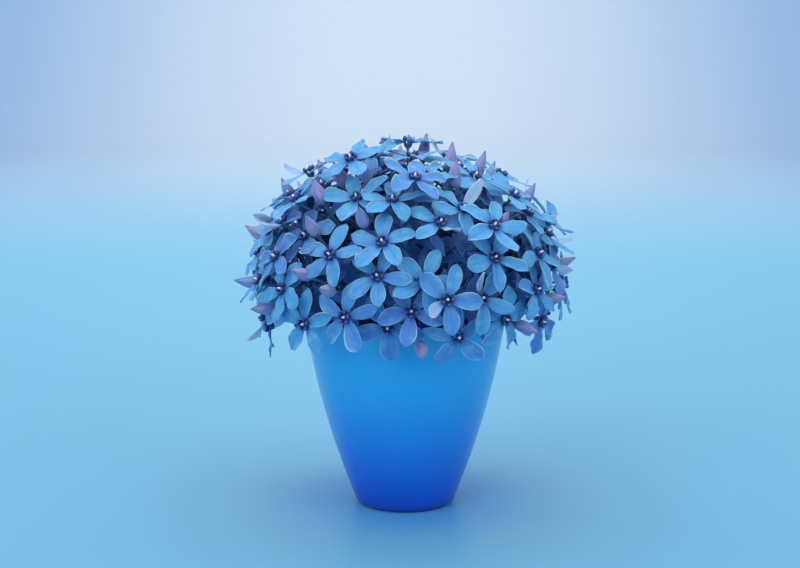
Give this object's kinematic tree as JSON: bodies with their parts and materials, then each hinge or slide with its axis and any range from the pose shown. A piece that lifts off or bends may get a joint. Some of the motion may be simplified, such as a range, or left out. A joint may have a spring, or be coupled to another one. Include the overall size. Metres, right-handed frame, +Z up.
{
  "type": "flowers in a vase",
  "caption": "Dome of small blue star flowers with pointed mauve buds, standing in a short tapered blue glass vase.",
  "frame": {"origin": "middle of the vase's flat foot, on the surface it stands on", "axes": "+Z up through the vase, -Y towards the front of the arrangement, +X to its right"},
  "size_m": [0.1444, 0.1432, 0.1587],
  "materials": {
    "glass": "satin, coloured through",
    "stem": "matt green skin",
    "petal": "soft, velvety",
    "bud": "soft, velvety",
    "leaf": "matt"
  },
  "bodies": {
    "root": {"vase": "glass", "stem_01": "stem", "stem_02": "stem", "stem_03": "stem", "stem_04": "stem", "stem_05": "stem", "stem_06": "stem", "stem_07": "stem", "stem_08": "stem", "stem_09": "stem", "stem_10": "stem", "stem_11": "stem", "stem_12": "stem", "stem_13": "stem", "stem_14": "stem", "stem_15": "stem", "stem_16": "stem", "flowers_01": "petal", "flowers_02": "petal", "flowers_03": "petal", "flowers_04": "petal", "flowers_05": "petal", "flowers_06": "petal", "flowers_07": "petal", "flowers_08": "petal", "flowers_09": "petal", "flowers_10": "petal", "flowers_11": "petal", "flowers_12": "petal", "flowers_13": "petal", "flowers_14": "petal", "flowers_15": "petal", "flowers_16": "petal", "buds_01": "bud", "buds_02": "bud", "buds_03": "bud", "buds_04": "bud", "buds_05": "bud", "buds_06": "bud", "buds_07": "bud", "buds_08": "bud", "buds_09": "bud", "buds_10": "bud", "buds_11": "bud", "buds_12": "bud", "buds_13": "bud", "buds_14": "bud", "buds_15": "bud", "buds_16": "bud", "leaf_01": "leaf", "leaf_02": "leaf", "leaf_03": "leaf", "leaf_04": "leaf", "leaf_05": "leaf", "leaf_06": "leaf", "leaf_07": "leaf", "leaf_08": "leaf", "leaf_09": "leaf", "leaf_10": "leaf", "leaf_11": "leaf"}
  },
  "joints": []
}
